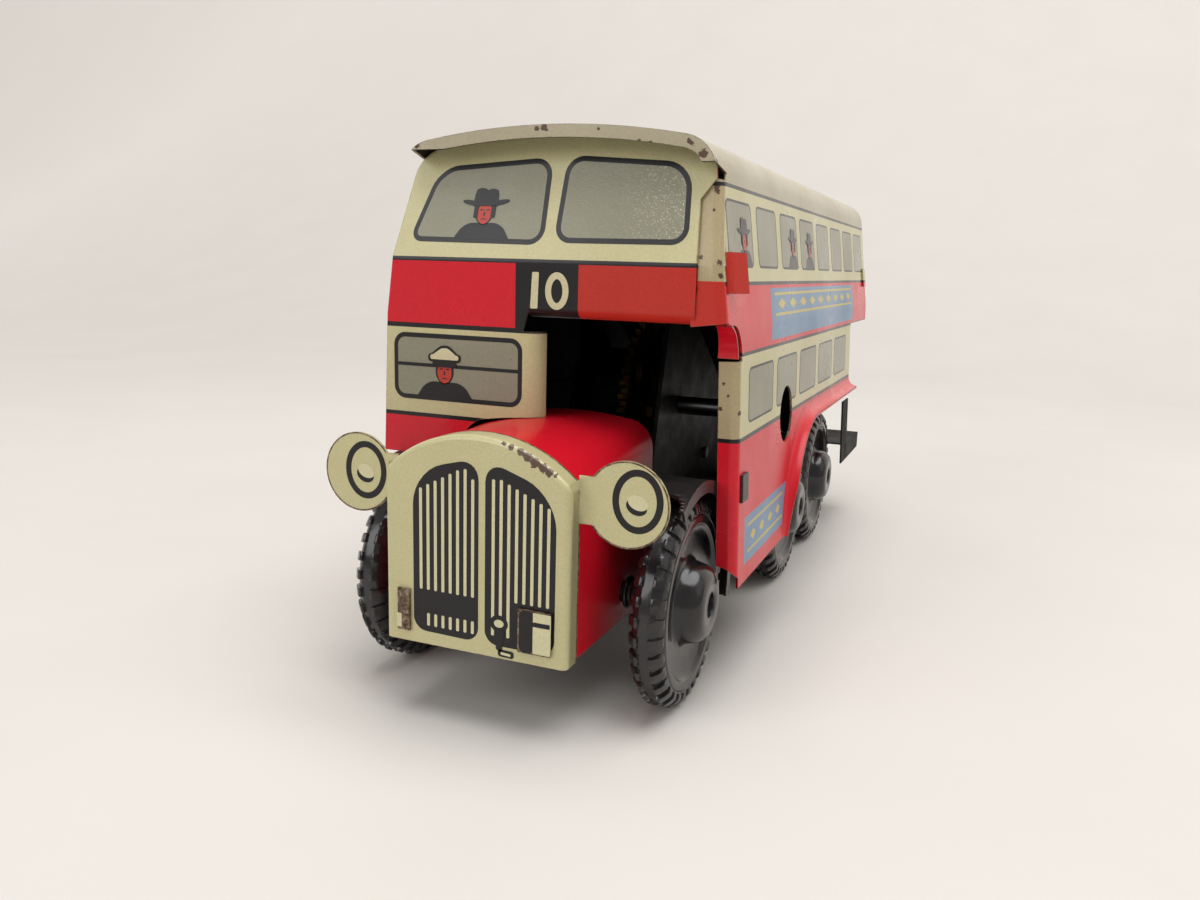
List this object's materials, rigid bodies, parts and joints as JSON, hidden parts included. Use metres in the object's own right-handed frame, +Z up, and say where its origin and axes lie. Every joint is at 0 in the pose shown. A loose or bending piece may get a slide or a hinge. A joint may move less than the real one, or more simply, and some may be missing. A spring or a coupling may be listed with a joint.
{
  "type": "clockwork tin bus",
  "caption": "Lithographed tinplate double-deck toy bus with half cab, open rear platform, moulded wheels on tandem rear axles and a spring motor wound through the side.",
  "frame": {"origin": "middle of the footprint on the table, under the middle of the bus", "axes": "-Y is the front of the bus, +X its nearside (kerb side), +Z up"},
  "size_m": [0.0684, 0.178, 0.0912],
  "materials": {
    "litho_tin": "printed tinplate, varnished",
    "red_tin": "printed tinplate, varnished",
    "cream_tin": "printed tinplate, varnished",
    "black_tin": "black lacquer, worn",
    "plate_steel": "bare sheet steel",
    "spring_steel": "blued spring steel",
    "shaft_steel": "drawn bright steel",
    "gear_brass": "stamped brass",
    "wheel_plastic": "black moulded, glossy"
  },
  "bodies": {
    "bus_body": {"body_shell": "litho_tin", "front_panel": "litho_tin", "rear_panel": "litho_tin", "saloon_bulkhead": "litho_tin", "bonnet": "red_tin", "radiator_shell": "cream_tin", "front_wing_nearside": "black_tin", "front_wing_offside": "black_tin", "chassis_channel": "black_tin", "rear_platform": "black_tin", "motor_plate_nearside": "plate_steel", "motor_plate_offside": "plate_steel", "motor_pillars": "plate_steel", "mainspring": "spring_steel"},
    "front_axle_set": {"front_axle": "shaft_steel", "wheel_front_nearside": "wheel_plastic", "wheel_front_offside": "wheel_plastic"},
    "drive_axle_set": {"drive_axle": "shaft_steel", "drive_pinion": "shaft_steel", "wheel_drive_nearside": "wheel_plastic", "wheel_drive_offside": "wheel_plastic"},
    "trailing_axle_set": {"trailing_axle": "shaft_steel", "wheel_trailing_nearside": "wheel_plastic", "wheel_trailing_offside": "wheel_plastic"},
    "second_arbor_set": {"second_arbor": "shaft_steel", "second_pinion": "shaft_steel", "second_wheel": "gear_brass"},
    "winding_arbor_set": {"winding_arbor": "shaft_steel", "ratchet_wheel": "gear_brass", "click": "gear_brass", "great_wheel": "gear_brass"}
  },
  "joints": [
    {"name": "front_axle_spin", "type": "hinge", "parent": "bus_body", "child": "front_axle_set", "pos_m": [0, -0.0648, 0.01699], "axis": [1, 0, 0], "continuous": true},
    {"name": "drive_axle_spin", "type": "hinge", "parent": "bus_body", "child": "drive_axle_set", "pos_m": [0, 0.0083, 0.01699], "axis": [1, 0, 0], "continuous": true},
    {"name": "trailing_axle_spin", "type": "hinge", "parent": "bus_body", "child": "trailing_axle_set", "pos_m": [0, 0.0453, 0.01699], "axis": [1, 0, 0], "continuous": true},
    {"name": "second_arbor_spin", "type": "hinge", "parent": "bus_body", "child": "second_arbor_set", "pos_m": [0, -0.00294, 0.02947], "axis": [1, 0, 0], "continuous": true},
    {"name": "winding_arbor_spin", "type": "hinge", "parent": "bus_body", "child": "winding_arbor_set", "pos_m": [0, -0.02129, 0.04232], "axis": [1, 0, 0], "continuous": true}
  ],
  "couplings": [
    {"joint": "second_arbor_spin", "follows": "drive_axle_spin", "ratio": -0.4},
    {"joint": "winding_arbor_spin", "follows": "drive_axle_spin", "ratio": 0.10909}
  ]
}
